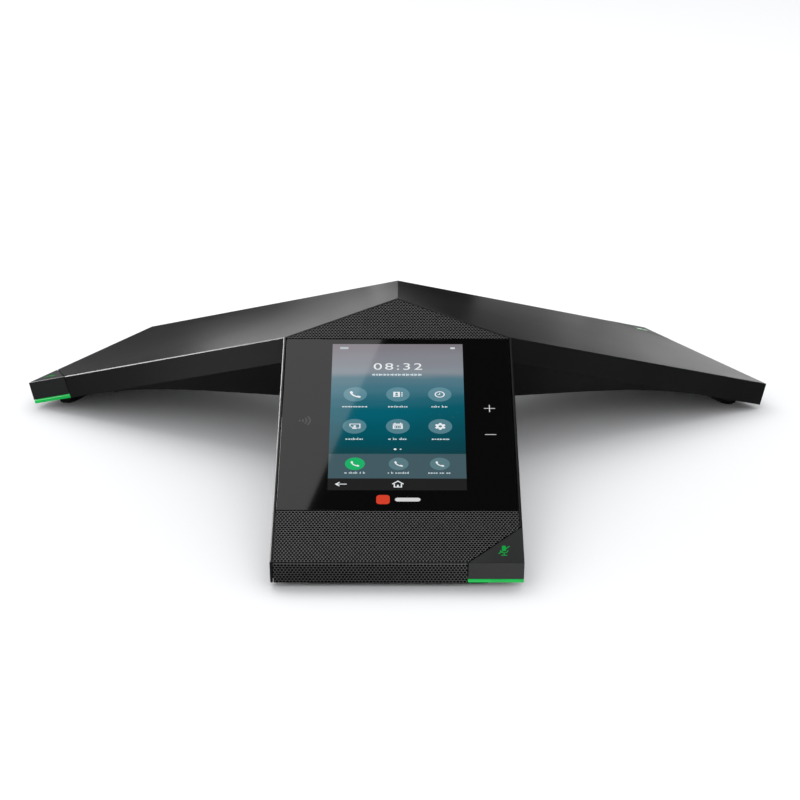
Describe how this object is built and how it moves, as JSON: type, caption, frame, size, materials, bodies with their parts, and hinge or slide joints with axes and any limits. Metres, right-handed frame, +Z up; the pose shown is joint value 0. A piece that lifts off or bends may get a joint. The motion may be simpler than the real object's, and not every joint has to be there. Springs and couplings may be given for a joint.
{
  "type": "desk ip phone",
  "caption": "Low star-shaped conference telephone with sloping legs, a touch screen on the front leg, mute keys at the leg ends and a speaker under its centre.",
  "frame": {"origin": "centre of the footprint's bounding box, on the table", "axes": "+X to the right of the person facing the screen, +Y away from them, +Z up"},
  "size_m": [0.3826, 0.3315, 0.074],
  "materials": {
    "satin_black": "satin black moulded plastic",
    "matte_black": "matt black moulded plastic",
    "grille_black": "satin black perforated sheet",
    "glass_black": "gloss, black behind the glass",
    "screen_teal": "lit picture",
    "light_green": "frosted, lit green",
    "rubber_black": "matt",
    "board_green": "solder mask",
    "steel": "plated",
    "magnet_grey": "coated",
    "paper_cone": "matt",
    "copper": "enamelled copper",
    "ribbon_amber": "polyimide film",
    "label_white": "matt white"
  },
  "bodies": {
    "base": {"top_cover": "satin_black", "bottom_cover": "matte_black", "grille_upper": "grille_black", "grille_lower": "grille_black", "display_glass": "glass_black", "glass_gasket": "matte_black", "lcd_panel": "screen_teal", "display_tray": "steel", "display_flex": "ribbon_amber", "nfc_antenna": "copper", "main_board": "board_green", "heat_spreader": "steel", "wireless_module": "steel", "io_board": "board_green", "speaker_enclosure": "matte_black", "speaker_basket": "steel", "speaker_magnet": "magnet_grey", "speaker_surround": "rubber_black", "lan_jack": "steel", "usb_host_port": "steel", "usb_service_port": "steel", "mic_port_left": "matte_black", "mic_port_right": "matte_black", "rating_label": "label_white", "leg_board_front": "board_green", "leg_ribbon_front": "ribbon_amber", "mute_switch_front": "matte_black", "mic_capsule_front": "magnet_grey", "foot_front": "rubber_black", "leg_board_left": "board_green", "leg_ribbon_left": "ribbon_amber", "mute_switch_left": "matte_black", "mic_capsule_left": "magnet_grey", "foot_left": "rubber_black", "leg_board_right": "board_green", "leg_ribbon_right": "ribbon_amber", "mute_switch_right": "matte_black", "mic_capsule_right": "magnet_grey", "foot_right": "rubber_black", "case_screw_1": "steel", "case_screw_2": "steel", "case_screw_3": "steel", "case_screw_4": "steel", "case_screw_5": "steel", "case_screw_6": "steel"},
    "mute_key_front_body": {"mute_key_front": "satin_black", "light_bar_front": "light_green"},
    "mute_key_left_body": {"mute_key_left": "satin_black", "light_bar_left": "light_green"},
    "mute_key_right_body": {"mute_key_right": "satin_black", "light_bar_right": "light_green"},
    "switch_stem_front_body": {"switch_stem_front": "label_white"},
    "switch_stem_left_body": {"switch_stem_left": "label_white"},
    "switch_stem_right_body": {"switch_stem_right": "label_white"},
    "speaker_cone_body": {"speaker_cone": "paper_cone", "voice_coil": "copper"}
  },
  "joints": [
    {"name": "mute_press_front", "type": "slide", "parent": "base", "child": "mute_key_front_body", "axis": [0, 0.3063, -0.952], "range_m": [0, 0.0007], "stiffness_N_per_m": 250, "springref_m": -0.002},
    {"name": "switch_press_front", "type": "slide", "parent": "base", "child": "switch_stem_front_body", "axis": [0, 0.3063, -0.952], "range_m": [0, 0.0007]},
    {"name": "mute_press_left", "type": "slide", "parent": "base", "child": "mute_key_left_body", "axis": [0.2652, -0.1531, -0.952], "range_m": [0, 0.0007], "stiffness_N_per_m": 250, "springref_m": -0.002},
    {"name": "switch_press_left", "type": "slide", "parent": "base", "child": "switch_stem_left_body", "axis": [0.2652, -0.1531, -0.952], "range_m": [0, 0.0007]},
    {"name": "mute_press_right", "type": "slide", "parent": "base", "child": "mute_key_right_body", "axis": [-0.2652, -0.1531, -0.952], "range_m": [0, 0.0007], "stiffness_N_per_m": 250, "springref_m": -0.002},
    {"name": "switch_press_right", "type": "slide", "parent": "base", "child": "switch_stem_right_body", "axis": [-0.2652, -0.1531, -0.952], "range_m": [0, 0.0007]},
    {"name": "cone_stroke", "type": "slide", "parent": "base", "child": "speaker_cone_body", "axis": [0, 0, 1], "range_m": [-0.0015, 0.0015], "stiffness_N_per_m": 400, "deforming": ["speaker_surround"]}
  ],
  "couplings": [
    {"joint": "switch_press_front", "follows": "mute_press_front", "ratio": 1},
    {"joint": "switch_press_left", "follows": "mute_press_left", "ratio": 1},
    {"joint": "switch_press_right", "follows": "mute_press_right", "ratio": 1}
  ]
}
